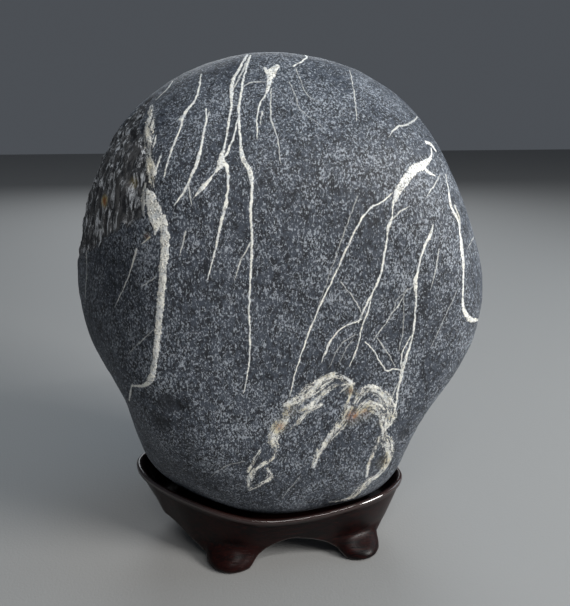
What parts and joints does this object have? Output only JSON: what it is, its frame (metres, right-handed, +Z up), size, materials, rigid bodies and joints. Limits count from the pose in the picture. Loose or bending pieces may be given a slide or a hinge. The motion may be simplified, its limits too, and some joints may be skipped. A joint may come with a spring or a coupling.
{
  "type": "scholars rock on stand",
  "caption": "Rounded dark grey viewing stone with white mineral veins, seated upright in a low carved hardwood stand on bracket feet",
  "frame": {"origin": "on the surface it stands on, under the middle of the stone and stand together", "axes": "+Z up, the stone's broad veined face looks along -Y, its width runs along X"},
  "size_m": [0.1918, 0.1182, 0.2402],
  "materials": {
    "veined_stone": "water-worn, matt to satin, fine light speckle, creamy white veins",
    "rosewood": "dark reddish brown, hand rubbed to a gloss"
  },
  "bodies": {
    "root": {"stone": "veined_stone", "stand": "rosewood"}
  },
  "joints": []
}
